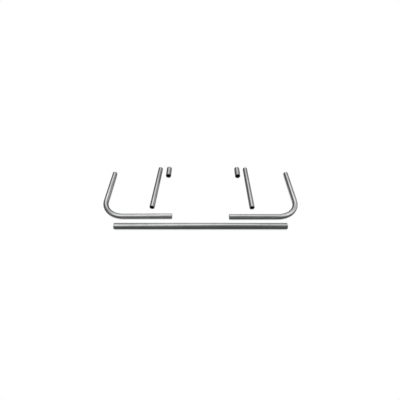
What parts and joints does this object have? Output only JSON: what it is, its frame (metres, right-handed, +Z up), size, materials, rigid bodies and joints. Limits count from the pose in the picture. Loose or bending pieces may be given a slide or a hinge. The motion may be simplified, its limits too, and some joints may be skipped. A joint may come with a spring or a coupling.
{
  "type": "ladder stabilizer",
  "caption": "Knock-down ladder stabilizer of plain round steel tubes laid out flat: straight centre tube, bent standoff arms, coupling sleeves and extension tubes.",
  "frame": {"origin": "middle of the laid-out kit's footprint, on the ground the tubes lie on", "axes": "+X along the centre tube, +Y from the centre tube towards the wall side, +Z up"},
  "size_m": [1.1444, 0.5111, 0.0334],
  "materials": {
    "galvanised_steel": "bright zinc, satin, lightly streaked along the tube"
  },
  "bodies": {
    "centre": {"centre_tube": "galvanised_steel"},
    "left_arm": {"left_arm": "galvanised_steel"},
    "left_coupler": {"left_coupler": "galvanised_steel"},
    "left_extension": {"left_extension_tube": "galvanised_steel"},
    "right_arm": {"right_arm": "galvanised_steel"},
    "right_coupler": {"right_coupler": "galvanised_steel"},
    "right_extension": {"right_extension_tube": "galvanised_steel"}
  },
  "joints": [
    {"name": "left_arm_slide", "type": "slide", "parent": "centre", "child": "left_arm", "axis": [-1, -0.0044, 0], "range_m": [0, 0.2]},
    {"name": "left_coupler_slide", "type": "slide", "parent": "left_arm", "child": "left_coupler", "axis": [-0.0052, 1, 0], "range_m": [-0.038, 0.038]},
    {"name": "left_extension_slide", "type": "slide", "parent": "left_coupler", "child": "left_extension", "axis": [0.0314, 0.9995, 0], "range_m": [0, 0.038]},
    {"name": "right_arm_slide", "type": "slide", "parent": "centre", "child": "right_arm", "axis": [1, 0.0017, 0], "range_m": [0, 0.2]},
    {"name": "right_coupler_slide", "type": "slide", "parent": "right_arm", "child": "right_coupler", "axis": [0.0227, 0.9997, 0], "range_m": [-0.038, 0.038]},
    {"name": "right_extension_slide", "type": "slide", "parent": "right_coupler", "child": "right_extension", "axis": [0.0105, 0.9999, 0], "range_m": [0, 0.038]}
  ]
}
